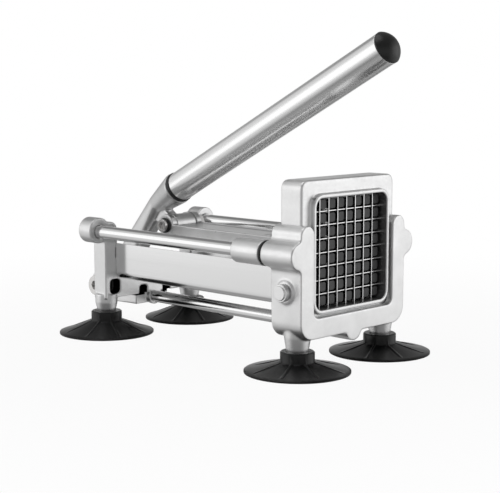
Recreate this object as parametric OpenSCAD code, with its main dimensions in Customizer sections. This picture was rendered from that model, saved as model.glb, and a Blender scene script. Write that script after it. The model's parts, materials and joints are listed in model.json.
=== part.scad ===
// Hand-lever french fry cutter on four suction feet.
// X runs across the cutter, +Y towards the lever pivot, +Z up. The origin is the middle of the footprint.
// Every module below is drawn with Y = 0 on the centre line of the front feet; in_frame() moves it.

/* [Cutting grid] */
// Distance between neighbouring blades
cell_pitch = 9.525; // [7:0.005:12]
// Cells along each side of the square grid
cell_count = 8; // [5:1:9]
// Thickness of a blade strip
blade_t = 0.7; // [0.5:0.05:1.2]
// Length of a blade strip along the cut
blade_depth = 9; // [6:0.5:12]
// How far each strip end sits in the blade frame
blade_tongue = 3; // [1.5:0.5:5]
// Length of the sharpened bevel
blade_bevel = 2; // [1:0.25:3]
// Height of the grid centre above the table
grid_z = 80.6; // [75:0.1:90]

/* [Blade frame] */
// Width of the frame wall beside the grid
frame_wall_x = 11.4; // [9:0.1:14]
// Width of the frame wall above and below the grid
frame_wall_z = 12.5; // [9:0.1:14]
// Thickness of the blade frame along the cut
frame_depth = 19.3; // [16:0.1:24]
// Radius of the frame's outer corners
frame_corner_r = 6; // [3:0.5:9]
// Radius of the opening's corners
opening_corner_r = 6.5; // [4:0.5:7]
// Width of the raised rim round the opening
rim_w = 2.6; // [1.5:0.1:4]
// Height of the raised rim
rim_h = 3.7; // [2:0.1:5]

/* [Front casting] */
// Thickness of the front wall
front_wall = 5.7; // [4:0.1:8]
// Thickness of the side walls
side_wall = 6.2; // [5:0.1:9]
// How far the front wall reaches over the blade frame
front_lap = 7.1; // [4:0.1:9]
// Thickness of the lip behind the blade frame
rear_lip = 2.3; // [1.5:0.1:4]
// Height of the casting's bottom edge
front_bottom_z = 23.5; // [22:0.5:27]
// Radius of the casting's bottom corners
front_corner_r = 12; // [6:0.5:14]
// Height of the horn tips
horn_top_z = 101.7; // [96:0.1:112]
// Radius of the ears round the guide rods
ear_r = 9.2; // [8:0.1:11]
// How far the rod boss stands out behind the casting
rod_boss_l = 1.7; // [1:0.1:8]

/* [Feet] */
// Half the distance between the left and right feet
foot_x = 45.2; // [42:0.1:50]
// Distance between the front and rear feet
foot_span = 202.4; // [180:0.2:230]
// Radius of a suction cup at the table
cup_r = 37; // [28:0.5:38]
// Radius of the cup's neck
cup_neck_r = 12; // [11:0.5:14]
// Height of a rear cup
cup_h = 17.5; // [16:0.5:20]
// Height of a front cup
front_cup_h = 14.5; // [14:0.5:17]
// Radius of the spigot inside the cup
spigot_r = 4.5; // [3.5:0.1:5.5]

/* [Guide rods] */
// Half the distance between the guide rods
rod_x = 57; // [56.6:0.1:60]
// Height of the guide rods
rod_z = 81.5; // [78:0.1:84]
// Radius of a guide rod
rod_r = 5; // [4:0.1:6]
// Radius of the lower tie rod
tie_r = 4.8; // [4:0.1:5.2]
// Height of the lower tie rod
tie_z = 24.2; // [24:0.1:25.5]
// Thickness of the rubber bumper rings
bumper_t = 1.9; // [1:0.1:2.5]

/* [Rear frame] */
// Distance from the front feet to the rear frame's front face
rear_y = 195; // [175:0.5:215]
// Depth of the posts
post_depth = 14; // [12:0.5:16]
// Width of a post
post_w = 12.5; // [11:0.5:14]
// Radius of the rear rod bosses
rear_boss_r = 10; // [8:0.1:11]
// Height of the crossbar's top
crossbar_top_z = 47; // [44:0.5:52]
// Height of the crossbar's lower edge
crossbar_bottom_z = 28; // [26:0.5:29]
// Depth of the crossbar
crossbar_depth = 12; // [8:0.5:13]
// Thickness of each clevis ear
ear_t = 7.7; // [5:0.1:9]
// Radius of the clevis ears round the pivot
pivot_ear_r = 12; // [10:0.5:12.5]

/* [Tray] */
// Half the outside width of the tray
tray_half = 41.2; // [40.7:0.1:41.6]
// Sheet thickness
tray_t = 0.8; // [0.6:0.1:1.2]
// Bend radius
tray_bend_r = 6.2; // [2:0.1:6.4]
// Height of the tray walls' top edge
tray_top_z = 71.3; // [60:0.1:72]

/* [Pusher] */
// Width of a pusher stud
stud_w = 6.4; // [5:0.1:6.8]
// Length of the pusher studs
stud_l = 17; // [12:0.5:24]
// How far the studs stop behind the blades' front edges
stud_setback = 1.1; // [0.5:0.1:2]
// Thickness of the stud block's back
block_t = 5; // [4:0.5:7]
// Thickness of the carriage plate
plate_t = 5.5; // [4.5:0.5:8]
// Length of a sleeve
sleeve_l = 26; // [20:0.5:30]
// Outer radius of a sleeve
sleeve_r = 9; // [8:0.1:10]
// Distance from the carriage plate to the push link's pin
lug_reach = 20; // [19.5:0.5:22]
// Radius of the pin eye on the carriage
lug_r = 8; // [7:0.1:8.5]
// Radius of the pin between carriage and link
pusher_pin_r = 4; // [3:0.1:4.5]

/* [Lever] */
// Lever pivot, distance behind the front feet
pivot_y = 244; // [240:0.5:250]
// Lever pivot, height
pivot_z = 30; // [28:0.5:31]
// Radius of the pivot bolt
pivot_r = 5; // [4:0.1:6]
// Width of the lever's hub across the clevis
hub_w = 18; // [16:0.5:19]
// Radius of the lever's hub
hub_r = 11; // [10:0.1:11.5]
// Radius of the lever arm
arm_r = 8.6; // [8:0.1:11]
// Half thickness of the lever arm across the cutter
arm_half_x = 8.2; // [7:0.1:8.4]
// Link pin on the lever, distance behind the front feet
link_pin_y = 165; // [162:0.5:168]
// Link pin on the lever, height
link_pin_z = 85.5; // [83:0.1:88]
// Width of the lever's rib to the link pin
rib_w = 9; // [7:0.5:11]
// Handle tube's lower end, distance behind the front feet
tube_y = 164.5; // [162:0.1:170]
// Handle tube's lower end, height
tube_z = 115.05; // [112:0.1:118]
// Slope of the handle
handle_slope = 27.3; // [20:0.1:35]
// Length of the handle tube
tube_l = 228; // [180:1:260]
// Outer radius of the handle tube
tube_r = 11.7; // [10:0.1:13]
// Wall of the handle tube
tube_wall = 1.3; // [0.8:0.1:2]
// Height of the cap's dome
cap_dome_h = 7; // [5:0.5:9]

/* [Push link] */
// Outer radius of the link's eye on the lever
link_eye_r = 8.5; // [7.5:0.1:9]
// Thickness of a link cheek
cheek_t = 5.3; // [4:0.1:6]
// Radius of the link bolt
link_bolt_r = 3; // [2.5:0.1:3.5]
// Thickness of the washers on the link bolt
washer_t = 1.3; // [0.8:0.1:2]
// Thickness of the web between the cheeks
web_t = 3.5; // [2.5:0.1:4.5]

/* [Lock pins] */
// Height of the lock pins
lock_z = 56.2; // [50:0.1:62]
// Distance of the lock pins from the front feet's centre line
lock_y = 1; // [0:0.1:3]
// Radius of the boss round a lock pin
lock_boss_r = 8; // [7.6:0.1:10]
// Radius of a lock pin's shank
lock_pin_r = 3; // [2:0.1:3.5]
// Radius of a lock pin's head
lock_head_r = 6.15; // [5:0.05:7]
// Pull needed to free the blade frame
lock_travel = 3; // [2.5:0.1:3]

/* [Hidden] */
$fn = 64;

// Clearances
seat_gap = 0.02;      // radial, parts that stay fixed together
run_gap = 0.05;       // radial, parts that turn or slide
side_gap = 0.3;       // beside turning or sliding faces
slot_gap = 0.05;      // round a blade in its slot
frame_gap = 0.2;      // round the blade frame in the front casting
eps = 0.5;            // extra length of a cutting tool
graze = 0.04;         // how far a fillet's cut reaches into the faces it joins

// Grid and blade frame
grid_half = cell_pitch * cell_count / 2;
opening_half = grid_half + blade_t / 2;
frame_half_x = opening_half + frame_wall_x;
frame_half_z = opening_half + frame_wall_z;
frame_front_y = -7.3;
frame_rear_y = frame_front_y + frame_depth;
blade_front_y = frame_front_y + 2.2;
blade_rear_y = blade_front_y + blade_depth;
blade_step = 0.8;     // the level strips start this far behind the upright ones
lap_y = (blade_front_y + blade_rear_y) / 2;

// Front casting
front_y = frame_front_y - 0.1 - front_wall;
pocket_half = frame_half_x + frame_gap;
front_half = pocket_half + side_wall;
lap_half = frame_half_x - front_lap;
front_rear_y = frame_rear_y + frame_gap + rear_lip;
horn_w = front_half - lap_half;
rod_boss_r = 9;
fillet_r = 4;
tie_boss_r = 8.5;
tie_boss_z = 25.5;
tie_fillet_r = 3;
tie_front_y = front_y + 5;
rod_front_y = front_y + 5;

// Feet
rear_foot_y = foot_span;
leg_neck_r = 6.75;
leg_top_r = 8.75;
front_leg_neck_r = 7.5;
front_leg_top_r = 9.4;
leg_root_z = front_bottom_z + 1;
cup_recess = 2;
cup_floor_z = 8;
cup_wall = 2.4;
cup_rim = 1.2;
cup_collar = 7;        // how far the collar stands above the skirt
cup_rib_t = 1;
cup_steps = 8;         // points on the skirt's curve

// Rear frame
post_x = foot_x + 0.5;
post_top_z = rod_z + 0.5;
rear_boss_z = rod_z + 0.8;
rear_back_y = rear_y + post_depth;
clevis_half = hub_w / 2 + side_gap;
lug_half = clevis_half + ear_t;
lug_front_y = rear_y + 4;
lug_bottom_z = 19;
web_back_y = rear_y + crossbar_depth;
leg_rear_top_z = crossbar_bottom_z;

// Tray
tray_rise = 1.6;       // the tray's floor above the lower edge of the frame's opening
tray_bottom_z = grid_z - opening_half + tray_rise - tray_t;
tray_front_y = frame_rear_y + 0.3;
tray_rear_y = rear_y - 0.1;
tab_z0 = tray_top_z - 12;
tab_z1 = tray_top_z - 3;
tab_l = 5;

// Pusher at rest, fully forward
stud_y = blade_front_y + stud_setback;
block_y = stud_y + stud_l;
plate_y = block_y + block_t;
plate_rear_y = plate_y + plate_t;
block_half = grid_half - 1.6;
plate_half = block_half;
bumper_y = front_rear_y + rod_boss_l + 0.05;
sleeve_y = bumper_y + bumper_t + side_gap;
pusher_pin_y = plate_rear_y + lug_reach;
pusher_pin_z = rod_z;
wing_h = 15;
wing_rear_y = plate_rear_y + 3;

// Link
lug_half_x = 10.2;
cheek_in = lug_half_x + side_gap;
cheek_out = cheek_in + cheek_t;
link_front_r = 8;
web_drop = 0.4;

// Lever
slope_y = -cos(handle_slope);
slope_z = sin(handle_slope);
elbow_y = tube_y + 24.4;
elbow_z = tube_z - 15;
gasket_t = 3;
gasket_r = tube_r + 0.6;
socket_r = tube_r + 1;
spigot_l = 30;
tube_in_r = tube_r - tube_wall;
cap_flange_t = 1;
cap_r = tube_r + 0.1;
cap_plug_l = 12;
dome_r = (cap_r * cap_r + cap_dome_h * cap_dome_h) / (2 * cap_dome_h);

// Lock pins
lock_boss_t = 1.5;
lock_tip = lock_travel - 0.4;
lock_collar_r = 4.6;
lock_collar_t = 1.2;
lock_bore_r = 5;
lock_cover = 2;
lock_room = side_wall + lock_boss_t - lock_cover;
spring_wire_r = 0.35;

// Fasteners; heads, sockets and nuts follow their shanks
rod_screw_r = rod_r / 2;
rod_screw_l = 16;
block_screw_r = stud_w * 0.3125;
block_screw_l = 8;
pivot_head_r = pivot_r * 1.6;
pivot_head_t = pivot_r * 1.2;
pivot_nut_af = pivot_r * 3.2;
pivot_nut_t = pivot_r * 1.5;
link_head_r = link_bolt_r * 1.63;
link_head_t = link_bolt_r;
link_nut_af = link_bolt_r * 3.3;
link_nut_t = link_bolt_r * 1.6;
washer_r = link_bolt_r * 1.97;
pin_head_r = pusher_pin_r * 1.5;
pin_head_t = pusher_pin_r;
pin_nut_af = pusher_pin_r * 2.75;
pin_nut_t = pusher_pin_r * 1.1;
tie_neck_r = tie_r * 0.7;
tie_nut_af = tie_neck_r * 3.9;
tie_nut_t = tie_neck_r * 1.9;

// Footprint, for the origin
dome_centre_s = tube_l + cap_flange_t + cap_dome_h - dome_r;
y_min = tube_y + slope_y * dome_centre_s - dome_r;
y_max = pivot_y + pivot_ear_r;
y_mid = (y_min + y_max) / 2;

// ---------------------------------------------------------------- helpers

module in_frame() {
    translate([0, -y_mid, 0]) children();
}

module left_right() {
    children();
    mirror([1, 0, 0]) children();
}

// Extrudes an XZ outline from y0 to y1.
module slab(y0, y1) {
    translate([0, y1, 0]) rotate([90, 0, 0]) linear_extrude(y1 - y0) children();
}

// Extrudes a YZ outline from x0 to x1.
module slice(x0, x1) {
    translate([x0, 0, 0]) rotate([90, 0, 90]) linear_extrude(x1 - x0) children();
}

module rod_along_y(r, y0, y1) {
    translate([0, y1, 0]) rotate([90, 0, 0]) cylinder(r = r, h = y1 - y0);
}

module rod_along_x(r, x0, x1) {
    translate([x0, 0, 0]) rotate([0, 90, 0]) cylinder(r = r, h = x1 - x0);
}

module round_rect(w, h, r) {
    square([w - 2 * r, h], center = true);
    square([w, h - 2 * r], center = true);
    for (sx = [-1, 1], sy = [-1, 1])
        translate([sx * (w / 2 - r), sy * (h / 2 - r)]) circle(r);
}

// A hexagon that measures af across its flats.
module hexagon(af) {
    circle(r = af / 2 / cos(30), $fn = 6);
}

// Fills the corner between a wall at x = wall and a circle, on the circle's side dir (1 up, -1 down).
// The cut is a hair larger than the fillet, so that it crosses the wall and the circle and doesn't graze them.
module ear_fillet(wall, cx, cz, cr, fr, dir) {
    fx = wall + fr;
    fz = cz + dir * sqrt((cr + fr) * (cr + fr) - (fx - cx) * (fx - cx));
    difference() {
        polygon([[wall - 1, cz], [cx, cz], [fx, fz], [wall - 1, fz]]);
        translate([fx, fz]) circle(fr + graze);
    }
}

// ---------------------------------------------------------------- blade frame and blades

module blade_frame() {
    color("silver") difference() {
        union() {
            translate([0, 0, grid_z]) slab(frame_front_y, frame_rear_y)
                round_rect(2 * frame_half_x, 2 * frame_half_z, frame_corner_r);
            translate([0, 0, grid_z]) slab(frame_front_y - rim_h, frame_front_y)
                round_rect(2 * (opening_half + rim_w), 2 * (opening_half + rim_w), opening_corner_r + rim_w);
        }
        translate([0, 0, grid_z]) slab(frame_front_y - rim_h - eps, frame_rear_y + eps)
            round_rect(2 * opening_half, 2 * opening_half, opening_corner_r);
        blade_slots();
        left_right() translate([0, lock_y, lock_z])
            rod_along_x(lock_pin_r + 0.2, frame_half_x - lock_tip - 0.5, frame_half_x + eps);
    }
}

// The grooves that hold the strips' ends.
module blade_slots() {
    w = blade_t + 2 * slot_gap;
    reach = opening_half + blade_tongue + slot_gap;
    y0 = blade_front_y - slot_gap;
    for (i = [1 : cell_count - 1]) {
        at = -grid_half + i * cell_pitch;
        translate([at - w / 2, y0, grid_z - reach])
            cube([w, blade_depth + 2 * slot_gap, 2 * reach]);
        translate([-reach, y0 + blade_step, grid_z + at - w / 2])
            cube([2 * reach, blade_depth + 2 * slot_gap, w]);
    }
}

// A strip's cross section, sharpened on the side that meets the potato.
module strip_section(y0) {
    polygon([[-blade_t / 2, y0], [blade_t / 2, y0],
             [blade_t / 2, y0 + blade_depth - blade_bevel], [0, y0 + blade_depth],
             [-blade_t / 2, y0 + blade_depth - blade_bevel]]);
}

// One strip standing at the grid centre, with half-lap notches between notch0 and notch1.
module strip(y0, notch0, notch1) {
    reach = opening_half + blade_tongue;
    notch_w = blade_t + 0.2;
    difference() {
        translate([0, 0, -reach]) linear_extrude(2 * reach) strip_section(y0);
        for (i = [1 : cell_count - 1])
            translate([-blade_t, notch0, -grid_half + i * cell_pitch - notch_w / 2])
                cube([2 * blade_t, notch1 - notch0, notch_w]);
    }
}

module blades_vertical() {
    color("gainsboro") for (i = [1 : cell_count - 1])
        translate([-grid_half + i * cell_pitch, 0, grid_z])
            strip(blade_front_y, lap_y, blade_rear_y + eps);
}

module blades_horizontal() {
    color("gainsboro") for (i = [1 : cell_count - 1])
        translate([0, 0, grid_z - grid_half + i * cell_pitch]) rotate([0, 90, 0])
            strip(blade_front_y + blade_step, blade_front_y, lap_y + 0.1);
}

// ---------------------------------------------------------------- front casting

module front_outline() {
    horn_r = horn_w / 2;
    difference() {
        union() {
            translate([0, (front_bottom_z + horn_top_z) / 2])
                round_rect(2 * front_half, horn_top_z - front_bottom_z, front_corner_r);
            left_right() translate([front_half - horn_w, grid_z]) square([horn_w, horn_top_z - grid_z - horn_r]);
            left_right() translate([front_half - horn_r, horn_top_z - horn_r]) circle(horn_r);
        }
        // keeps the horns round: nothing stands above their tips' centres but the tips
        left_right() difference() {
            translate([lap_half - eps, horn_top_z - horn_r]) square([horn_w + 2 * eps, horn_r + eps]);
            translate([front_half - horn_r, horn_top_z - horn_r]) circle(horn_r);
        }
    }
    left_right() {
        translate([rod_x, rod_z]) circle(ear_r);
        for (dir = [-1, 1]) ear_fillet(front_half, rod_x, rod_z, ear_r, fillet_r, dir);
    }
    translate([0, tie_boss_z]) circle(tie_boss_r);
    // fillets beside the tie rod's boss, drawn on their side
    left_right() mirror([1, 0]) rotate(-90) ear_fillet(-front_bottom_z, -tie_boss_z, 0, tie_boss_r, tie_fillet_r, 1);
}

// An opening that is open upwards, from z = bottom.
module open_slot(half, bottom, r) {
    top = horn_top_z + 2;
    translate([0, (bottom + top + 2 * r) / 2]) round_rect(2 * half, top - bottom + 2 * r, r);
}

// A leg that tapers into the neck of its cup, with the spigot that holds the cup.
module leg(top_z, root_z, h, neck_r, top_r) {
    neck_z = h - cup_recess;
    translate([0, 0, neck_z]) cylinder(r1 = neck_r, r2 = top_r, h = root_z - neck_z);
    translate([0, 0, root_z]) cylinder(r = top_r, h = top_z - root_z);
    translate([0, 0, cup_floor_z]) cylinder(r = spigot_r, h = h - cup_floor_z);
}

module front_frame() {
    color("lightgray") difference() {
        union() {
            slab(front_y, front_rear_y) front_outline();
            left_right() {
                translate([rod_x, 0, rod_z]) rod_along_y(rod_boss_r, front_rear_y, front_rear_y + rod_boss_l);
                translate([foot_x, 0, 0])
                    leg(front_bottom_z + 9, leg_root_z, front_cup_h, front_leg_neck_r, front_leg_top_r);
                translate([0, lock_y, lock_z]) {
                    rod_along_x(lock_boss_r, front_half - 1, front_half + lock_boss_t - 0.5);
                    rod_along_x(lock_boss_r - 1.2, front_half, front_half + lock_boss_t);
                }
            }
        }
        // the blade frame's pocket, the front window and the opening behind
        slab(frame_front_y - 0.1, frame_rear_y + frame_gap)
            open_slot(pocket_half, grid_z - frame_half_z - frame_gap, frame_corner_r);
        slab(front_y - eps, frame_front_y) open_slot(lap_half, grid_z - frame_half_z + front_lap + 1, 5);
        slab(frame_rear_y, front_rear_y + eps)
            open_slot(tray_half + 0.2, tray_bottom_z - 0.2, tray_bend_r);
        // bores
        left_right() {
            translate([rod_x, 0, rod_z])
                rod_along_y(rod_r + seat_gap, rod_front_y, front_rear_y + rod_boss_l + eps);
            translate([0, lock_y, lock_z]) {
                rod_along_x(lock_bore_r, pocket_half - eps, pocket_half + lock_room);
                rod_along_x(lock_pin_r + run_gap, pocket_half, front_half + lock_boss_t + eps);
            }
        }
        translate([0, 0, tie_z]) rod_along_y(tie_r + seat_gap, tie_front_y, front_rear_y + eps);
    }
}

// ---------------------------------------------------------------- rods, bumpers and feet

module guide_rod() {
    color("gainsboro") translate([rod_x, 0, rod_z]) difference() {
        rod_along_y(rod_r, rod_front_y, rear_back_y - 4);
        rod_along_y(rod_screw_r + seat_gap, rear_back_y - rod_screw_l - 2, rear_back_y);
    }
}

module guide_rod_left() {
    mirror([1, 0, 0]) guide_rod();
}

module guide_rod_right() {
    guide_rod();
}

// Socket screws that pull the guide rods into the rear bosses.
module guide_rod_screws() {
    color("darkgray") left_right() translate([rod_x, 0, rod_z]) difference() {
        union() {
            rod_along_y(rod_screw_r, rear_back_y - rod_screw_l, rear_back_y + 0.5);
            rod_along_y(2 * rod_screw_r, rear_back_y, rear_back_y + 4);
        }
        slab(rear_back_y + 1.5, rear_back_y + 5) hexagon(1.6 * rod_screw_r);
    }
}

// Its shoulder rests on the rear casting, and its neck goes through to the nut.
module tie_rod() {
    color("gainsboro") translate([0, 0, tie_z]) {
        rod_along_y(tie_r, tie_front_y, rear_y - seat_gap);
        rod_along_y(tie_neck_r, rear_y - 1, web_back_y + 9);
    }
}

module tie_rod_nut() {
    color("darkgray") translate([0, 0, tie_z]) difference() {
        slab(web_back_y, web_back_y + tie_nut_t) hexagon(tie_nut_af);
        rod_along_y(tie_neck_r + seat_gap, web_back_y - eps, web_back_y + 8);
    }
}

module bumper() {
    color("black") translate([rod_x, 0, rod_z]) difference() {
        rod_along_y(rod_boss_r - 0.1, bumper_y, bumper_y + bumper_t);
        rod_along_y(rod_r + seat_gap, bumper_y - eps, bumper_y + bumper_t + eps);
    }
}

module bumper_left() {
    mirror([1, 0, 0]) bumper();
}

module bumper_right() {
    bumper();
}

// The flared skirt of a cup of height h follows a shallow curve from the neck (t = 0) to the rim (t = 1).
function skirt_r(t) = cup_neck_r + (cup_r - cup_neck_r) * t;
function skirt_z(t, h) = cup_rim + (h - cup_collar - cup_rim) * (1 - t) * (1 - 0.35 * t);
function skirt_top(t, h) = [skirt_r(t), skirt_z(t, h)];
function skirt_under(t, h) = [skirt_r(t) - cup_rim, skirt_z(t, h) - cup_wall * (1 - 0.5 * t)];

module suction_cup(h, neck_r) {
    color("black") difference() {
        union() {
            rotate_extrude() polygon(concat(
                [[0, cup_floor_z - cup_wall], [0, h], [cup_neck_r - 0.8, h], [cup_neck_r, h - 0.8]],
                [for (i = [0 : cup_steps]) skirt_top(i / cup_steps, h)],
                [[cup_r, 0], [cup_r - cup_rim, 0]],
                [for (i = [cup_steps - 1 : -1 : 1]) skirt_under(i / cup_steps, h)]
            ));
            cup_ribs(h);
        }
        translate([0, 0, cup_floor_z]) cylinder(r = spigot_r + seat_gap, h = h);
        translate([0, 0, h - cup_recess]) cylinder(r = neck_r + 0.25, h = h);
    }
}

// Thin radial ribs that stiffen the skirt.
module cup_ribs(h) {
    root_r = cup_neck_r - 1;
    for (a = [0 : 45 : 315]) rotate([0, 0, a + 22.5]) translate([0, cup_rib_t / 2, 0]) rotate([90, 0, 0])
        linear_extrude(cup_rib_t) polygon([
            [root_r, h - cup_collar + 0.4], skirt_top(0.45, h) + [0, 0.5],
            skirt_top(0.8, h), [root_r, h - cup_collar - 2.5]]);
}

module suction_cup_front_left() {
    translate([-foot_x, 0, 0]) suction_cup(front_cup_h, front_leg_neck_r);
}

module suction_cup_front_right() {
    translate([foot_x, 0, 0]) suction_cup(front_cup_h, front_leg_neck_r);
}

module suction_cup_rear_left() {
    translate([-foot_x, rear_foot_y, 0]) suction_cup(cup_h, leg_neck_r);
}

module suction_cup_rear_right() {
    translate([foot_x, rear_foot_y, 0]) suction_cup(cup_h, leg_neck_r);
}

// ---------------------------------------------------------------- rear frame and tray

module post_outline() {
    translate([post_x - post_w / 2, leg_rear_top_z]) square([post_w, post_top_z - leg_rear_top_z]);
    translate([post_x, post_top_z]) circle(post_w / 2);
    translate([rod_x, rear_boss_z]) circle(rear_boss_r);
    // web from the post to the boss
    translate([post_x, rear_boss_z - rear_boss_r * 0.6]) square([rod_x - post_x, rear_boss_r * 1.2]);
}

module clevis_ear_outline() {
    polygon([[lug_front_y, lug_bottom_z], [pivot_y, pivot_z - pivot_ear_r],
             [pivot_y, pivot_z + pivot_ear_r], [web_back_y, crossbar_top_z], [lug_front_y, crossbar_top_z]]);
    translate([pivot_y, pivot_z]) circle(pivot_ear_r);
}

module core_pocket(x, z, w, h, r) {
    translate([x, 0, z]) slab(rear_y - eps, rear_y + crossbar_depth - 3) round_rect(w, h, r);
}

module rear_frame() {
    color("lightgray") difference() {
        union() {
            left_right() {
                slab(rear_y, rear_back_y) post_outline();
                translate([foot_x, rear_foot_y, 0])
                    leg(crossbar_bottom_z + 3, leg_root_z, cup_h, leg_neck_r, leg_top_r);
                slice(clevis_half, lug_half) clevis_ear_outline();
            }
            slab(rear_y, web_back_y)
                translate([-post_x, crossbar_bottom_z]) square([2 * post_x, crossbar_top_z - crossbar_bottom_z]);
            slab(lug_front_y, web_back_y)
                translate([-lug_half, lug_bottom_z]) square([2 * lug_half, crossbar_bottom_z - lug_bottom_z + 1]);
            // boss round the tie rod
            translate([0, 0, tie_z]) rod_along_y(tie_boss_r - 2, rear_y, lug_front_y);
        }
        left_right() {
            core_pocket(12.5, 30.5, 8.5, 8.5, 2.5);
            core_pocket(42, 37, 10.5, 11.5, 3.5);
            translate([rod_x, 0, rod_z]) {
                rod_along_y(rod_r + seat_gap, rear_y - eps, rear_back_y - 4);
                rod_along_y(rod_screw_r + seat_gap, rear_y, rear_back_y + eps);
            }
            // seat of the tray's tab
            translate([post_x - post_w / 2 - eps, rear_y - eps, tab_z0 - 0.2])
                cube([tray_half + 0.1 - post_x + post_w / 2 + eps, tab_l + 0.2 + eps, tab_z1 - tab_z0 + 0.4]);
        }
        translate([0, 0, tie_z]) rod_along_y(tie_neck_r + seat_gap, rear_y - eps, web_back_y + eps);
        translate([0, pivot_y, pivot_z]) rod_along_x(pivot_r + seat_gap, -lug_half - eps, lug_half + eps);
    }
}

module tray_outline() {
    module u_shape(half, bottom, r) {
        top = tray_top_z + 2 * r;
        translate([0, (bottom + top) / 2]) round_rect(2 * half, top - bottom, r);
    }
    difference() {
        u_shape(tray_half, tray_bottom_z, tray_bend_r);
        u_shape(tray_half - tray_t, tray_bottom_z + tray_t, tray_bend_r - tray_t);
        translate([-tray_half - eps, tray_top_z]) square([2 * (tray_half + eps), 4 * tray_bend_r]);
    }
}

module potato_tray() {
    color("silver") {
        slab(tray_front_y, tray_rear_y) tray_outline();
        left_right() translate([tray_half - tray_t, tray_rear_y - 0.01, tab_z0])
            cube([tray_t, tab_l, tab_z1 - tab_z0]);
    }
}

// ---------------------------------------------------------------- pusher

// A square with small corner flats, the section of one stud.
module stud_section() {
    h = stud_w / 2;
    c = 1.1;
    polygon([[-h + c, -h], [h - c, -h], [h, -h + c], [h, h - c], [h - c, h], [-h + c, h], [-h, h - c], [-h, -h + c]]);
}

module pusher_block() {
    color([0.13, 0.13, 0.14]) difference() {
        union() {
            translate([0, 0, grid_z]) slab(block_y, plate_y) round_rect(2 * block_half, 2 * block_half, 4);
            translate([0, 0, grid_z]) slab(stud_y, block_y + 0.5)
                for (i = [0 : cell_count - 1], j = [0 : cell_count - 1])
                    translate([-grid_half + (i + 0.5) * cell_pitch, -grid_half + (j + 0.5) * cell_pitch])
                        stud_section();
        }
        block_screw_places() rod_along_y(block_screw_r + seat_gap, plate_y - block_screw_l - 1, plate_y + eps);
    }
}

// The four screws stand in line with stud centres.
module block_screw_places() {
    at = cell_pitch * (floor(cell_count / 2) - 1.5);
    for (sx = [-1, 1], sz = [-1, 1]) translate([sx * at, 0, grid_z + sz * at]) children();
}

module block_screws() {
    color("darkgray") block_screw_places() difference() {
        union() {
            rod_along_y(block_screw_r, plate_y - block_screw_l, plate_rear_y + 0.5);
            rod_along_y(1.75 * block_screw_r, plate_rear_y, plate_rear_y + 3);
        }
        slab(plate_rear_y + 1.2, plate_rear_y + 4) hexagon(1.5 * block_screw_r);
    }
}

module pusher_carriage() {
    color("lightgray") difference() {
        union() {
            translate([0, 0, grid_z]) slab(plate_y, plate_rear_y) round_rect(2 * plate_half, 2 * plate_half, 5);
            left_right() {
                translate([rod_x, 0, rod_z]) rod_along_y(sleeve_r, sleeve_y, sleeve_y + sleeve_l);
                slab(max(plate_y, sleeve_y), wing_rear_y)
                    translate([plate_half - 8, rod_z - wing_h / 2]) square([rod_x - plate_half + 8, wing_h]);
            }
            slice(-lug_half_x, lug_half_x) {
                translate([plate_rear_y - 1, pusher_pin_z - lug_r]) square([lug_reach + 1, 2 * lug_r]);
                translate([pusher_pin_y, pusher_pin_z]) circle(lug_r);
            }
            // stiffening rib above and below the lug
            slice(-3, 3) polygon([
                [plate_rear_y - 1, grid_z - plate_half + 4], [plate_rear_y + 1, grid_z - plate_half + 4],
                [plate_rear_y + 10, pusher_pin_z - lug_r], [plate_rear_y + 10, pusher_pin_z + lug_r],
                [plate_rear_y + 1, grid_z + plate_half - 4], [plate_rear_y - 1, grid_z + plate_half - 4]]);
        }
        left_right() translate([rod_x, 0, rod_z])
            rod_along_y(rod_r + run_gap, plate_y - eps, sleeve_y + sleeve_l + eps);
        block_screw_places() rod_along_y(block_screw_r + 0.1, plate_y - eps, plate_rear_y + eps);
        translate([0, pusher_pin_y, pusher_pin_z]) rod_along_x(pusher_pin_r + seat_gap, -lug_half_x - 1, lug_half_x + 1);
    }
}

// The middle of the pin, held in the carriage's eye.
module pusher_pin() {
    color("silver") translate([0, pusher_pin_y, pusher_pin_z]) rod_along_x(pusher_pin_r, -lug_half_x, lug_half_x);
}

// ---------------------------------------------------------------- push link

module cheek_outline() {
    translate([link_pin_y, link_pin_z]) circle(link_eye_r);
    translate([pusher_pin_y, pusher_pin_z]) circle(link_front_r);
    polygon([[pusher_pin_y, pusher_pin_z - link_front_r], [link_pin_y, link_pin_z - link_eye_r],
             [link_pin_y, link_pin_z + 1], [pusher_pin_y + 8, pusher_pin_z + 4.5], [pusher_pin_y, pusher_pin_z + 4.5]]);
}

module link_web_outline() {
    y0 = pusher_pin_y + lug_r + 14;
    y1 = link_pin_y - 11;
    z0 = pusher_pin_z + 4.5 - web_drop;
    z1 = link_pin_z + 1 - web_drop;
    polygon([[y0, z0 - web_t], [y1, z1 - web_t], [y1, z1], [y0, z0]]);
}

module push_link() {
    color("silver") difference() {
        union() {
            left_right() slice(cheek_in, cheek_out) cheek_outline();
            slice(-cheek_in - 0.5, cheek_in + 0.5) link_web_outline();
        }
        translate([0, link_pin_y, link_pin_z]) rod_along_x(link_bolt_r + seat_gap, -cheek_out - 1, cheek_out + 1);
        translate([0, pusher_pin_y, pusher_pin_z]) rod_along_x(pusher_pin_r + seat_gap, -cheek_out - 1, cheek_out + 1);
    }
}

module link_washers() {
    color("dimgray") left_right() translate([0, link_pin_y, link_pin_z]) difference() {
        rod_along_x(washer_r, cheek_out, cheek_out + washer_t);
        rod_along_x(link_bolt_r + seat_gap, cheek_out - eps, cheek_out + 3);
    }
}

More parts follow.
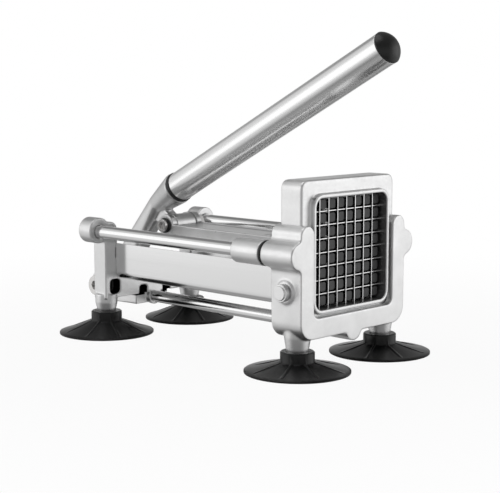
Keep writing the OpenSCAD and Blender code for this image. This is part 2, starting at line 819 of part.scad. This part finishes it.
module link_bolt() {
    head_x = cheek_out + washer_t;
    color("silver") translate([0, link_pin_y, link_pin_z]) difference() {
        union() {
            rod_along_x(link_bolt_r, -head_x - 0.5, head_x + link_nut_t + 1.2);
            rod_along_x(link_head_r, -head_x - link_head_t, -head_x);
        }
        slice(-head_x - link_head_t - 1, -head_x - 1) hexagon(1.67 * link_bolt_r);
    }
}

module link_nut() {
    head_x = cheek_out + washer_t;
    color("silver") translate([0, link_pin_y, link_pin_z]) difference() {
        slice(head_x, head_x + link_nut_t) hexagon(link_nut_af);
        rod_along_x(link_bolt_r + seat_gap, head_x - eps, head_x + link_nut_t + 1);
    }
}

// The two ends of the pin at the carriage stay with the link.
module front_bolt_head() {
    color("silver") translate([0, pusher_pin_y, pusher_pin_z]) difference() {
        union() {
            rod_along_x(pusher_pin_r, -cheek_out - 0.5, -cheek_in - 0.1);
            rod_along_x(pin_head_r, -cheek_out - pin_head_t, -cheek_out);
        }
        slice(-cheek_out - pin_head_t - 1, -cheek_out - 1.5) hexagon(1.25 * pusher_pin_r);
    }
}

module front_bolt_nut() {
    color("silver") translate([0, pusher_pin_y, pusher_pin_z]) {
        rod_along_x(pusher_pin_r, cheek_in + 0.1, cheek_out + pin_nut_t + 0.5);
        slice(cheek_out, cheek_out + pin_nut_t) hexagon(pin_nut_af);
    }
}

// ---------------------------------------------------------------- lever and handle

// Moves the Z axis onto the handle's axis, s along it from the tube's lower end.
module along_handle(s) {
    translate([0, tube_y + slope_y * s, tube_z + slope_z * s]) rotate([90 - handle_slope, 0, 0]) children();
}

module lever_arm() {
    color("silver") difference() {
        union() {
            hull() {
                translate([0, pivot_y, pivot_z]) rod_along_x(arm_r, -arm_half_x, arm_half_x);
                translate([0, elbow_y, elbow_z]) sphere(arm_r, $fn = 32);
            }
            hull() {
                translate([0, elbow_y, elbow_z]) sphere(arm_r, $fn = 32);
                along_handle(-gasket_t - 2) cylinder(r = socket_r, h = 1, $fn = 32);
            }
            along_handle(-gasket_t - 1.5) cylinder(r = socket_r, h = 1.5);
            along_handle(-gasket_t - 1) cylinder(r = tube_in_r - 0.1, h = gasket_t + 1 + spigot_l);
            translate([0, pivot_y, pivot_z]) rod_along_x(hub_r, -hub_w / 2, hub_w / 2);
            translate([0, link_pin_y, link_pin_z]) rod_along_x(link_eye_r - 0.3, -lug_half_x, lug_half_x);
            slice(-rib_w / 2, rib_w / 2) polygon([
                [link_pin_y, link_pin_z - link_eye_r + 1], [elbow_y, elbow_z - arm_r * 1.6],
                [elbow_y, elbow_z], [elbow_y - 10, elbow_z - 3.5], [link_pin_y + 4, link_pin_z + 4]]);
        }
        translate([0, pivot_y, pivot_z]) rod_along_x(pivot_r + run_gap, -hub_w, hub_w);
        translate([0, link_pin_y, link_pin_z]) rod_along_x(link_bolt_r + run_gap, -hub_w, hub_w);
    }
}

module handle_gasket() {
    color("black") along_handle(-gasket_t) difference() {
        cylinder(r = gasket_r, h = gasket_t);
        translate([0, 0, -eps]) cylinder(r = tube_in_r - 0.05, h = gasket_t + 2 * eps);
    }
}

module handle_tube() {
    color("gainsboro") along_handle(0) difference() {
        cylinder(r = tube_r, h = tube_l);
        translate([0, 0, -eps]) cylinder(r = tube_in_r, h = tube_l + 2 * eps);
    }
}

module handle_cap() {
    color("black") along_handle(tube_l) rotate_extrude() {
        translate([0, -cap_plug_l]) square([tube_in_r - 0.05, cap_plug_l + 1]);
        square([cap_r, cap_flange_t]);
        intersection() {
            translate([0, dome_centre_s - tube_l]) circle(dome_r);
            square([cap_r, cap_flange_t + cap_dome_h + 1]);
        }
    }
}

module pivot_bolt() {
    color("silver") translate([0, pivot_y, pivot_z]) difference() {
        union() {
            rod_along_x(pivot_r, -lug_half - 0.5, lug_half + pivot_nut_t + 1.5);
            rod_along_x(pivot_head_r, -lug_half - pivot_head_t, -lug_half);
        }
        slice(-lug_half - pivot_head_t - 1, -lug_half - 2.5) hexagon(1.4 * pivot_r);
    }
}

module pivot_nut() {
    color("silver") translate([0, pivot_y, pivot_z]) difference() {
        slice(lug_half, lug_half + pivot_nut_t) hexagon(pivot_nut_af);
        rod_along_x(pivot_r + seat_gap, lug_half - eps, lug_half + pivot_nut_t + 1);
    }
}

// ---------------------------------------------------------------- lock pins

// A sprung pin through the casting's side that holds the blade frame; drawn on the right.
module lock_pin() {
    out = front_half + lock_boss_t;
    color("gainsboro") translate([0, lock_y, lock_z]) {
        rod_along_x(lock_pin_r, frame_half_x - lock_tip, out + 2);
        rod_along_x(lock_collar_r, pocket_half + 0.05, pocket_half + lock_collar_t);
        rod_along_x(lock_head_r - 1.2, out + 0.3, out + 1.5);
        rod_along_x(lock_head_r, out + 1.2, out + 4.5);
        rod_along_x(lock_head_r - 1.3, out + 4, out + 5.5);
    }
}

module lock_pin_left() {
    mirror([1, 0, 0]) lock_pin();
}

module lock_pin_right() {
    lock_pin();
}

// Spring between the pin's collar and the end of its bore, as a stack of plain rings.
module lock_spring() {
    x0 = pocket_half + lock_collar_t + 0.05;
    room = pocket_half + lock_room - x0 - 0.1;
    turns = 3;
    ring_r = (lock_pin_r + lock_collar_r) / 2 + 0.2;
    color("dimgray") for (i = [0 : turns - 1])
        translate([x0 + spring_wire_r + i * (room - 2 * spring_wire_r) / (turns - 1), lock_y, lock_z])
            rotate([0, 90, 0]) rotate_extrude() translate([ring_r, 0]) circle(spring_wire_r, $fn = 16);
}

module lock_spring_left() {
    mirror([1, 0, 0]) lock_spring();
}

module lock_spring_right() {
    lock_spring();
}

// ---------------------------------------------------------------- nodes

in_frame() front_frame();
in_frame() rear_frame();
in_frame() guide_rod_left();
in_frame() guide_rod_right();
in_frame() guide_rod_screws();
in_frame() tie_rod();
in_frame() tie_rod_nut();
in_frame() potato_tray();
in_frame() blade_frame();
in_frame() blades_vertical();
in_frame() blades_horizontal();
in_frame() bumper_left();
in_frame() bumper_right();
in_frame() suction_cup_front_left();
in_frame() suction_cup_front_right();
in_frame() suction_cup_rear_left();
in_frame() suction_cup_rear_right();
in_frame() pivot_bolt();
in_frame() pivot_nut();
in_frame() lever_arm();
in_frame() handle_tube();
in_frame() handle_gasket();
in_frame() handle_cap();
in_frame() push_link();
in_frame() link_bolt();
in_frame() link_washers();
in_frame() link_nut();
in_frame() front_bolt_head();
in_frame() front_bolt_nut();
in_frame() pusher_carriage();
in_frame() pusher_pin();
in_frame() pusher_block();
in_frame() block_screws();
in_frame() lock_pin_left();
in_frame() lock_pin_right();
in_frame() lock_spring_left();
in_frame() lock_spring_right();
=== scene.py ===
"""The looks of a hand-lever french fry cutter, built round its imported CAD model.

Lengths are in metres, except for the camera's lens and sensor.
"""
import json
import math

import bmesh
import bpy
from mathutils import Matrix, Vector

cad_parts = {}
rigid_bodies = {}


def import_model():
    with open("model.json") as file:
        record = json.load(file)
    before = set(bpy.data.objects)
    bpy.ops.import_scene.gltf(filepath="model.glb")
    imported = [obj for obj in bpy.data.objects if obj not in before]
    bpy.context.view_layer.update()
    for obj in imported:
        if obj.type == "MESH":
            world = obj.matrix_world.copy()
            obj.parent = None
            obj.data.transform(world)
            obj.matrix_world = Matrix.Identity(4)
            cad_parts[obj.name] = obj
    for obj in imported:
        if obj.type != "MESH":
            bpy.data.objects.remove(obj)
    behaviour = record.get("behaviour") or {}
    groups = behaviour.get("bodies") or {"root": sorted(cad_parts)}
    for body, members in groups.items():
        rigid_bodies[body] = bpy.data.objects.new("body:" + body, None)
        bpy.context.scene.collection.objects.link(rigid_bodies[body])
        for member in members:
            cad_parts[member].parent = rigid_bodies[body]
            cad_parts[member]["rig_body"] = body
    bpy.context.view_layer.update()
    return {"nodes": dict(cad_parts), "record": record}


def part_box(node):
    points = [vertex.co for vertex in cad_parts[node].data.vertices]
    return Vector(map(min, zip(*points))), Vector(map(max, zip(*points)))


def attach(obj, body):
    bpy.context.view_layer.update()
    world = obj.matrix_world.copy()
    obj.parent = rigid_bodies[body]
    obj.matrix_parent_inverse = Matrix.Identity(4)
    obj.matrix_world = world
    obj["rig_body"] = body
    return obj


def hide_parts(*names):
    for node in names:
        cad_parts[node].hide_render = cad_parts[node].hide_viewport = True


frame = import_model()

MM = 0.001
SIDES = {"left": -1, "right": 1}

# ---------------------------------------------------------------- camera

# the camera's place: X and Z in the frame, and how far in front of the front feet's centre line it stands
CAMERA_X, CAMERA_FRONT, CAMERA_Z = -0.69701, 0.58166, 0.20078
CAMERA_LOOKS = Vector((0.71476, 0.68722, -0.12978))
CAMERA_LENS, SENSOR = 93.58, 36     # millimetres

foot_low, foot_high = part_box("suction_cup_front_left")
camera_y = (foot_low.y + foot_high.y) / 2 - CAMERA_FRONT

camera_data = bpy.data.cameras.new("camera")
camera_data.lens = CAMERA_LENS
camera_data.sensor_width = SENSOR
camera_data.clip_start = 0.01
camera = bpy.data.objects.new("camera", camera_data)
camera.location = (CAMERA_X, camera_y, CAMERA_Z)
camera.rotation_euler = CAMERA_LOOKS.to_track_quat("-Z", "Y").to_euler()
bpy.context.scene.collection.objects.link(camera)
bpy.context.scene.camera = camera

# ---------------------------------------------------------------- node helpers

NOISE_FROM, NOISE_TO = 0.3, 0.7     # most of a noise lies between these


def grey(value, warm=0.0):
    """A near-neutral colour, a little warmer or cooler."""
    return (value * (1 + warm), value, value * (1 - warm))


def colour_sockets(sockets):
    return [socket for socket in sockets if socket.type == "RGBA"]


class Nodes:
    """A node tree under construction."""

    def __init__(self, tree):
        self.tree = tree

    def add(self, kind, **values):
        node = self.tree.nodes.new(kind)
        for key, value in values.items():
            if key in node.inputs:
                node.inputs[key].default_value = value
            else:
                setattr(node, key, value)
        return node

    def join(self, out, into):
        self.tree.links.new(out, into)

    def give(self, into, value):
        """Joins an input to a socket, or sets it to a constant."""
        if isinstance(value, bpy.types.NodeSocket):
            self.join(value, into)
        else:
            into.default_value = value

    def number(self, operation, first, second):
        """Arithmetic with two numbers."""
        node = self.add("ShaderNodeMath", operation=operation)
        self.give(node.inputs[0], first)
        self.give(node.inputs[1], second)
        return node.outputs["Value"]

    def vector(self, operation, first, second=None):
        """Vector arithmetic. Lengths and dot products come out as numbers."""
        node = self.add("ShaderNodeVectorMath", operation=operation)
        self.give(node.inputs[0], first)
        if second is not None:
            self.give(node.inputs[1], second)
        return node.outputs["Value" if operation in ("LENGTH", "DOT_PRODUCT") else "Vector"]

    def parts(self, vector):
        """The X, Y and Z outputs of a vector."""
        node = self.add("ShaderNodeSeparateXYZ")
        self.join(vector, node.inputs["Vector"])
        return node.outputs

    def ranged(self, value, start, end, low=0.0, high=1.0, **options):
        """Maps start..end to low..high, with low before the start and high after the end."""
        node = self.add("ShaderNodeMapRange", **options)
        for name, limit in (("From Min", start), ("From Max", end), ("To Min", low), ("To Max", high)):
            node.inputs[name].default_value = limit
        self.join(value, node.inputs["Value"])
        return node.outputs["Result"]

    def mixed(self, factor, first, second, blend_type="MIX"):
        """The colour that a factor gives between a first and a second colour."""
        node = self.add("ShaderNodeMix", data_type="RGBA", blend_type=blend_type)
        self.give(node.inputs["Factor"], factor)
        for end, colour in zip(colour_sockets(node.inputs), (first, second)):
            self.give(end, colour)
        return colour_sockets(node.outputs)[0]

    def either(self, factor, first, second):
        """One of two shaders, the second where the factor is 1."""
        node = self.add("ShaderNodeMixShader")
        self.join(factor, node.inputs["Fac"])
        self.join(first, node.inputs[1])
        self.join(second, node.inputs[2])
        return node.outputs["Shader"]


class Surface(Nodes):
    """A material under construction: its node tree and its Principled shader."""

    def __init__(self, name, colour, metallic, roughness):
        self.material = bpy.data.materials.new(name)
        self.material.use_nodes = True
        super().__init__(self.material.node_tree)
        self.shader = self.tree.nodes["Principled BSDF"]
        self.shader.inputs["Base Color"].default_value = (*colour, 1)
        self.shader.inputs["Metallic"].default_value = metallic
        self.shader.inputs["Roughness"].default_value = roughness
        self.material.diffuse_color = (*colour, 1)

    def places(self, scale=(1, 1, 1), turn_x=0.0):
        """Object coordinates, turned about X and then stretched."""
        coordinates = self.add("ShaderNodeTexCoord")
        turn = self.add("ShaderNodeMapping", Rotation=(turn_x, 0, 0))
        stretch = self.add("ShaderNodeMapping", Scale=scale)
        self.join(coordinates.outputs["Object"], turn.inputs["Vector"])
        self.join(turn.outputs["Vector"], stretch.inputs["Vector"])
        return stretch.outputs["Vector"]

    def noise(self, scale, detail, stretch=(1, 1, 1), turn_x=0.0):
        """A noise in object coordinates, with scale times stretch cells in a metre."""
        texture = self.add("ShaderNodeTexNoise", Scale=scale, Detail=detail)
        self.join(self.places(stretch, turn_x), texture.inputs["Vector"])
        return texture.outputs["Fac"]

    def spread(self, noise, low, high):
        """Maps the middle part of a noise, where most of it lies, to a range."""
        return self.ranged(noise, NOISE_FROM, NOISE_TO, low, high)

    def inside(self, boxes):
        """1 inside any of the boxes, which are pairs of corners in object coordinates, and 0 elsewhere."""
        place = self.add("ShaderNodeTexCoord").outputs["Object"]
        found = 0.0
        for low, high in boxes:
            offset = self.vector("SUBTRACT", place, (low + high) / 2)
            reach = self.parts(self.vector("ABSOLUTE", self.vector("DIVIDE", offset, (high - low) / 2)))
            furthest = self.number("MAXIMUM", self.number("MAXIMUM", reach["X"], reach["Y"]), reach["Z"])
            found = self.number("MAXIMUM", self.number("LESS_THAN", furthest, 1.0), found)
        return found

    def darken(self, boxes, level):
        """Multiplies the colour by level inside the boxes."""
        base = self.shader.inputs["Base Color"]
        colour = base.links[0].from_socket
        self.join(self.mixed(self.inside(boxes), colour, (*grey(level), 1), "MULTIPLY"), base)

    def roughen(self, noise, low, high):
        self.join(self.spread(noise, low, high), self.shader.inputs["Roughness"])

    def tint(self, noise, dark, light):
        """Colour between dark and light by a noise."""
        colour = self.mixed(self.spread(noise, 0, 1), (*dark, 1), (*light, 1))
        self.join(colour, self.shader.inputs["Base Color"])

    def bump(self, noise, depth):
        node = self.add("ShaderNodeBump", Strength=1.0, Distance=depth)
        self.join(noise, node.inputs["Height"])
        self.join(node.outputs["Normal"], self.shader.inputs["Normal"])


# ---------------------------------------------------------------- materials
# A level is the grey level of a colour, and a grain is the depth of a bump.


def cast_metal(name, level, rough, grain, painted_shade_boxes=(), painted_shade_level=1.0):
    """Tumbled casting: fine even grain, faint cloudy tone, and painted shade inside given boxes, such as deep
    recesses.
    """
    surface = Surface(name, grey(level), metallic=1.0, roughness=rough)
    clouds = surface.noise(60, detail=4)
    surface.tint(clouds, grey(level * 0.94), grey(min(level * 1.05, 1)))
    surface.roughen(surface.noise(700, detail=2), rough - 0.05, rough + 0.06)
    surface.bump(surface.noise(1500, detail=3), grain)
    if painted_shade_boxes:
        # painted shade: the colour is darkened inside the boxes
        surface.darken(painted_shade_boxes, painted_shade_level)
    return surface.material


def polished_metal(name, level, rough, warm=0.0):
    """Polished or plated metal with very faint wear."""
    surface = Surface(name, grey(level, warm), metallic=1.0, roughness=rough)
    surface.roughen(surface.noise(180, detail=4), rough * 0.85, rough * 1.2)
    surface.bump(surface.noise(60, detail=2), depth=0.003 * MM)
    return surface.material


def brushed_metal(name, level, rough, stretch, turn_x=0.0, grain=0.004 * MM, streak=0.04):
    """Satin sheet or tube: long hair lines along one direction."""
    surface = Surface(name, grey(level), metallic=1.0, roughness=rough)
    lines = surface.noise(1, detail=5, stretch=stretch, turn_x=turn_x)
    surface.tint(lines, grey(level * (1 - streak)), grey(min(level * (1 + streak / 2), 1)))
    surface.roughen(lines, rough * 0.92, rough * 1.1)
    surface.bump(lines, grain)
    return surface.material


def soft_plastic(name, level, rough, grain, gloss=0.5):
    """Black rubber or moulded plastic with a fine skin, a little bluish."""
    cool = -0.02
    surface = Surface(name, grey(level, cool), metallic=0.0, roughness=rough)
    surface.shader.inputs["Specular IOR Level"].default_value = gloss
    clouds = surface.noise(45, detail=4)
    skin = surface.noise(900, detail=3)
    surface.tint(clouds, grey(level * 0.8, cool), grey(level * 1.2, cool))
    surface.roughen(skin, rough * 0.92, rough * 1.1)
    surface.bump(skin, grain)
    return surface.material


def stud_material():
    """Moulded black, with the cut ends of the studs, which face the blades, painted a dull grey: painted
    light on the ends, against sides that stay black as if in shade.
    """
    moulded, painted_lit_grey = grey(0.004), grey(0.085, -0.01)
    surface = Surface("stud_plastic", grey(0.01), metallic=0.0, roughness=0.5)
    normal = surface.parts(surface.add("ShaderNodeNewGeometry").outputs["Normal"])
    # painted light: faces that look along -Y get the lighter grey
    cut_end = surface.ranged(normal["Y"], CUT_END_FROM, CUT_END_TO)
    surface.join(surface.mixed(cut_end, (*moulded, 1), (*painted_lit_grey, 1)), surface.shader.inputs["Base Color"])
    surface.roughen(surface.noise(900, detail=3), 0.42, 0.6)
    return surface.material


# the cored pockets of the rear casting beside the clevis: their centre's X and Z, and their width
INNER_POCKET_X, INNER_POCKET_Z, INNER_POCKET = 12.5 * MM, 30.5 * MM, 8.5 * MM
INNER_MARGIN = 0.3 * MM     # how far their painted-shade boxes reach past their walls
CORE_SKIN = 1.4 * MM        # how far an outer pocket's walls lie outside the opening's box
CORE_MOUTH = 0.8 * MM       # how deep the rim of a pocket's mouth is that the painted shade leaves out
THROAT_SKIN = 1.2 * MM      # how far the blade frame's inner walls lie outside the front window's box
THROAT_DEPTH = 60 * MM      # far enough behind the window to take in all of these walls
RIM_LIP = 1.0 * MM          # the bright front edge of the blade frame's rim, which the painted shade behind it leaves out
HANDLE_SLOPE = math.radians(27.3)       # of the handle tube at rest
CUT_END_FROM, CUT_END_TO = -0.8, -0.95  # Y of the normal where a stud's cut end begins, and is full


def opening_box(name, margin):
    """The box of an opening that the record states, made wider by margin all round."""
    for opening in frame["record"]["physics"]["openings"]:
        if opening["name"] == name:
            low, high = (Vector(corner) for corner in opening["box_m"])
            return low - Vector((margin,) * 3), high + Vector((margin,) * 3)
    raise ValueError(f"the record states no opening named {name}")


def pocket_boxes():
    """The boxes of painted shade in the rear casting's cored pockets, an outer and an inner one on each side,
    behind their mouths' rims.
    """
    boxes = []
    for side, sign in SIDES.items():
        low, high = opening_box("core_pocket_" + side, CORE_SKIN)
        low.y += CORE_SKIN + CORE_MOUTH
        centre = Vector((sign * INNER_POCKET_X, (low.y + high.y) / 2, INNER_POCKET_Z))
        reach = INNER_POCKET / 2 + INNER_MARGIN
        half = Vector((reach, (high.y - low.y) / 2, reach))
        boxes += [(low, high), (centre - half, centre + half)]
    return boxes


def throat_box():
    """The inner walls of the blade frame, behind its rim's front edge, where shade is painted."""
    low, high = opening_box("front_window", THROAT_SKIN)
    low.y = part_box("blade_frame")[0].y + RIM_LIP
    high.y += THROAT_DEPTH
    return low, high


cast_aluminium = cast_metal("cast_aluminium", level=0.80, rough=0.38, grain=0.04 * MM)
# painted shade: the cored pockets are darkened to 0.06 of the casting's colour
rear_aluminium = cast_metal(
    "rear_aluminium", level=0.76, rough=0.38, grain=0.04 * MM, painted_shade_boxes=pocket_boxes(), painted_shade_level=0.06)
# painted shade: the blade frame's inner walls are darkened to half the casting's colour
frame_aluminium = cast_metal(
    "frame_aluminium", level=0.80, rough=0.38, grain=0.04 * MM, painted_shade_boxes=[throat_box()], painted_shade_level=0.5)
lever_casting = cast_metal("lever_casting", level=0.62, rough=0.32, grain=0.006 * MM)
rod_chrome = polished_metal("rod_chrome", level=0.74, rough=0.13)
nickel = polished_metal("nickel", level=0.72, rough=0.24, warm=0.015)
satin_pin = polished_metal("satin_pin", level=0.82, rough=0.36)
dark_metal = polished_metal("dark_metal", level=0.06, rough=0.35)
spring_steel = polished_metal("spring_steel", level=0.55, rough=0.25)
tray_steel = brushed_metal(
    "tray_steel", level=0.80, rough=0.17, stretch=(1400, 6, 1400), grain=0.001 * MM, streak=0.015)
tube_steel = brushed_metal(
    "tube_steel", level=0.82, rough=0.24, stretch=(220, 1.2, 220), turn_x=HANDLE_SLOPE,
    grain=0.0003 * MM, streak=0.03)
blade_steel = brushed_metal("blade_steel", level=0.80, rough=0.22, stretch=(400, 40, 400))
cup_rubber = soft_plastic("cup_rubber", level=0.005, rough=0.30, grain=0.004 * MM, gloss=0.35)
gasket_rubber = soft_plastic("gasket_rubber", level=0.008, rough=0.45, grain=0.03 * MM)
cap_plastic = soft_plastic("cap_plastic", level=0.008, rough=0.30, grain=0.02 * MM)
stud_plastic = stud_material()

# ---------------------------------------------------------------- mesh helpers

FLAT_WEIGHT = 80                    # how strongly large faces keep their own normal
SMOOTHING = 0.5                     # share of the way to its neighbours' middle that a point moves in a pass
KEPT_FACES = 0.4                    # share of the remeshed faces that a casting keeps
JOIN_DISTANCE = 0.002 * MM          # points nearer than this are joined
FLAT_ANGLE = math.radians(0.5)      # faces that meet at less are one flat face
EDGE_ANGLE = math.radians(35)       # edges sharper than this are broken


def paint(piece, material):
    piece.data.materials.clear()
    piece.data.materials.append(material)


def applied(piece):
    """Replaces the piece's mesh with the result of its modifiers."""
    graph = bpy.context.evaluated_depsgraph_get()
    mesh = bpy.data.meshes.new_from_object(piece.evaluated_get(graph))
    piece.modifiers.clear()
    piece.data = mesh


def shaded(piece):
    """Smooth shading in which large flat faces keep their own normal and the rounded edges blend to it."""
    piece.data.polygons.foreach_set("use_smooth", [True] * len(piece.data.polygons))
    modifier = piece.modifiers.new("weighted", "WEIGHTED_NORMAL")
    modifier.weight = FLAT_WEIGHT
    modifier.keep_sharp = True


def smoothed(piece, name, passes, group=""):
    modifier = piece.modifiers.new(name, "SMOOTH")
    modifier.factor = SMOOTHING
    modifier.iterations = passes
    modifier.vertex_group = group


def soft_cast(node, material, voxel, passes, zone=None, zone_passes=0):
    """A copy of a cast node with its edges rounded: remeshed at voxel, smoothed and made lighter.

    The points that zone is true for are smoothed zone_passes times more.
    """
    piece = bpy.data.objects.new(node + "_cast", frame["nodes"][node].data.copy())
    bpy.context.scene.collection.objects.link(piece)
    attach(piece, frame["nodes"][node]["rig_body"])
    remesh = piece.modifiers.new("remesh", "REMESH")
    remesh.mode = "VOXEL"
    remesh.voxel_size = voxel
    smoothed(piece, "smooth", passes)
    if zone:
        applied(piece)
        group = piece.vertex_groups.new(name="zone")
        group.add([point.index for point in piece.data.vertices if zone(point.co)], 1, "REPLACE")
        smoothed(piece, "rounding", zone_passes, group.name)
    piece.modifiers.new("thin", "DECIMATE").ratio = KEPT_FACES
    applied(piece)
    paint(piece, material)
    shaded(piece)
    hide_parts(node)


def crisp(node, material, bevel, segments=3):
    """A machined CAD node with its edges broken: joined points, whole flat faces, a small bevel."""
    piece = frame["nodes"][node]
    paint(piece, material)
    piece.modifiers.new("weld", "WELD").merge_threshold = JOIN_DISTANCE
    flat = piece.modifiers.new("flat", "DECIMATE")
    flat.decimate_type = "DISSOLVE"
    flat.angle_limit = FLAT_ANGLE
    if bevel:
        edge = piece.modifiers.new("edge", "BEVEL")
        edge.width = bevel
        edge.segments = segments
        edge.limit_method = "ANGLE"
        edge.angle_limit = EDGE_ANGLE
        edge.miter_outer = "MITER_ARC"
    shaded(piece)


# ---------------------------------------------------------------- castings

EDGE_ZONE = 4 * MM      # how far in from the blade frame's outline its edge is rounded more
blade_frame_low, blade_frame_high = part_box("blade_frame")


def outer_edge(point):
    """True near the outline of the blade frame, away from its rim round the opening."""
    return (min(point.x - blade_frame_low.x, blade_frame_high.x - point.x) < EDGE_ZONE
            or min(point.z - blade_frame_low.z, blade_frame_high.z - point.z) < EDGE_ZONE)


soft_cast("front_frame", cast_aluminium, voxel=0.55 * MM, passes=16)
soft_cast("blade_frame", frame_aluminium, voxel=0.45 * MM, passes=6,
          zone=outer_edge, zone_passes=45)
soft_cast("rear_frame", rear_aluminium, voxel=0.55 * MM, passes=7)
soft_cast("pusher_carriage", cast_aluminium, voxel=0.5 * MM, passes=6)
soft_cast("push_link", lever_casting, voxel=0.45 * MM, passes=6)
soft_cast("lever_arm", lever_casting, voxel=0.55 * MM, passes=10)

# ---------------------------------------------------------------- rods, bolts and small metal

for side in SIDES:
    crisp("guide_rod_" + side, rod_chrome, bevel=0.5 * MM)
    crisp("lock_pin_" + side, satin_pin, bevel=0.4 * MM)
    crisp("lock_spring_" + side, spring_steel, bevel=0)
    crisp("bumper_" + side, gasket_rubber, bevel=0.4 * MM)
crisp("tie_rod", rod_chrome, bevel=0.5 * MM)
for node in ("guide_rod_screws", "tie_rod_nut", "pivot_bolt", "pivot_nut", "link_bolt",
             "link_nut", "front_bolt_head", "front_bolt_nut", "pusher_pin", "block_screws"):
    crisp(node, nickel, bevel=0.35 * MM)
crisp("link_washers", dark_metal, bevel=0.2 * MM)

# ---------------------------------------------------------------- tray, blades and pusher block

crisp("potato_tray", tray_steel, bevel=0.2 * MM, segments=2)
crisp("blades_vertical", blade_steel, bevel=0.08 * MM, segments=1)
crisp("blades_horizontal", blade_steel, bevel=0.08 * MM, segments=1)
crisp("pusher_block", stud_plastic, bevel=0.7 * MM)

# ---------------------------------------------------------------- handle and suction cups

crisp("handle_tube", tube_steel, bevel=0.3 * MM)
crisp("handle_gasket", gasket_rubber, bevel=0.5 * MM)
crisp("handle_cap", cap_plastic, bevel=0.6 * MM)
for end in ("front", "rear"):
    for side in SIDES:
        crisp(f"suction_cup_{end}_{side}", cup_rubber, bevel=0)

# ---------------------------------------------------------------- floor, world and lamps

FLOOR_RADIUS = 1.6
FLOOR_CLEARNESS = 0.93              # how much of the background the camera sees through the floor
FADE_FROM, FADE_TO = 0.12, 0.6      # from here to there, away from the object, the floor fades out
PAINT_GREY, DULL_GREY = 0.9, 0.42   # the floor's grey to the camera, and to the light it throws back
LAMP_AIM = Vector((0, 0, 0.09))     # a little below the object's middle

# grey of the surroundings by height, from straight down (0) over level (0.5) to straight up (1)
HEIGHT_STOPS = [
    (0.0, 0.42), (0.17, 0.34), (0.21, 0.12), (0.30, 0.34), (0.44, 0.46), (0.52, 0.50),
    (0.66, 0.42), (0.76, 0.22), (1.0, 0.30)]

# bright panels of the studio: the direction of each from the object, and its grey levels by how
# closely a ray points to it, from square to it (0) to straight at it (1)
STUDIO_PANELS = [
    (CAMERA_LOOKS, [(0.0, 0.0), (0.86, 0.05), (0.95, 0.70), (1.0, 0.95)]),
    (Vector((-0.55, 0.83, 0.08)), [(0.0, 0.0), (0.60, 0.05), (0.80, 0.72), (1.0, 0.84)]),
    (Vector((0.70, -0.70, -0.05)), [(0.0, 0.0), (0.60, 0.10), (0.85, 0.76), (1.0, 0.86)]),
]


def pale_floor():
    """A round floor. The camera sees little more than its shadows, and metal doesn't reflect it."""
    mesh = bpy.data.meshes.new("floor")
    work = bmesh.new()
    bmesh.ops.create_circle(work, cap_ends=True, segments=96, radius=FLOOR_RADIUS)
    work.to_mesh(mesh)
    work.free()
    floor = bpy.data.objects.new("floor", mesh)
    bpy.context.scene.collection.objects.link(floor)

    surface = Surface("floor_paint", grey(PAINT_GREY), metallic=0.0, roughness=0.7)
    surface.shader.inputs["Specular IOR Level"].default_value = 0.1
    distance = surface.vector("LENGTH", surface.places())
    fade = surface.ranged(distance, FADE_FROM, FADE_TO, FLOOR_CLEARNESS, 1.0, interpolation_type="SMOOTHSTEP")
    ray = surface.add("ShaderNodeLightPath").outputs
    dull = surface.add("ShaderNodeBsdfDiffuse", Color=(*grey(DULL_GREY), 1)).outputs["BSDF"]
    clear = surface.add("ShaderNodeBsdfTransparent").outputs["BSDF"]
    for_camera = surface.either(fade, surface.shader.outputs["BSDF"], clear)
    for_others = surface.either(ray["Is Glossy Ray"], dull, clear)
    floor_shader = surface.either(ray["Is Camera Ray"], for_others, for_camera)
    surface.join(floor_shader, surface.tree.nodes["Material Output"].inputs["Surface"])
    floor.data.materials.append(surface.material)


def grey_ramp(nodes, value, start, stops):
    """Turns a value from start to 1 into a grey level."""
    ramp = nodes.add("ShaderNodeValToRGB")
    elements = ramp.color_ramp.elements
    while len(elements) < len(stops):
        elements.new(0.5)
    for element, (position, level) in zip(elements, stops):
        element.position = position
        element.color = (*grey(level), 1)
    nodes.join(nodes.ranged(value, start, 1.0), ramp.inputs["Fac"])
    return ramp.outputs["Color"]


def studio_world():
    """Soft studio surroundings for the object: grey above and below, with bright panels round it.

    The camera itself sees plain white.
    """
    world = bpy.data.worlds.new("studio")
    bpy.context.scene.world = world
    world.use_nodes = True
    nodes = Nodes(world.node_tree)
    nodes.tree.nodes.clear()
    direction = nodes.add("ShaderNodeTexCoord").outputs["Generated"]
    light = grey_ramp(nodes, nodes.parts(direction)["Z"], -1.0, HEIGHT_STOPS)
    for towards, stops in STUDIO_PANELS:
        facing = nodes.vector("DOT_PRODUCT", direction, towards.normalized())
        light = nodes.mixed(1.0, light, grey_ramp(nodes, facing, 0.0, stops), "LIGHTEN")
    soft = nodes.add("ShaderNodeBackground")
    nodes.join(light, soft.inputs["Color"])
    white = nodes.add("ShaderNodeBackground", Color=(1, 1, 1, 1))
    ray = nodes.add("ShaderNodeLightPath").outputs
    seen = nodes.either(ray["Is Camera Ray"], soft.outputs["Background"], white.outputs["Background"])
    nodes.join(seen, nodes.add("ShaderNodeOutputWorld").inputs["Surface"])


def softbox(name, at, size, power):
    """A rectangular lamp that points at LAMP_AIM."""
    lamp = bpy.data.lights.new(name, "AREA")
    lamp.shape = "RECTANGLE"
    lamp.size, lamp.size_y = size
    lamp.energy = power
    holder = bpy.data.objects.new(name, lamp)
    holder.location = at
    holder.rotation_euler = (LAMP_AIM - Vector(at)).to_track_quat("-Z", "Y").to_euler()
    bpy.context.scene.collection.objects.link(holder)


pale_floor()
studio_world()
softbox("left", at=(-1.1, 0.75, 0.35), size=(1.1, 0.9), power=1.6)
softbox("right", at=(1.0, -1.1, 0.30), size=(1.1, 0.9), power=1.7)
softbox("top", at=(-0.3, 0.2, 1.5), size=(1.2, 1.0), power=4.0)

bpy.context.scene.view_settings.view_transform = "Standard"
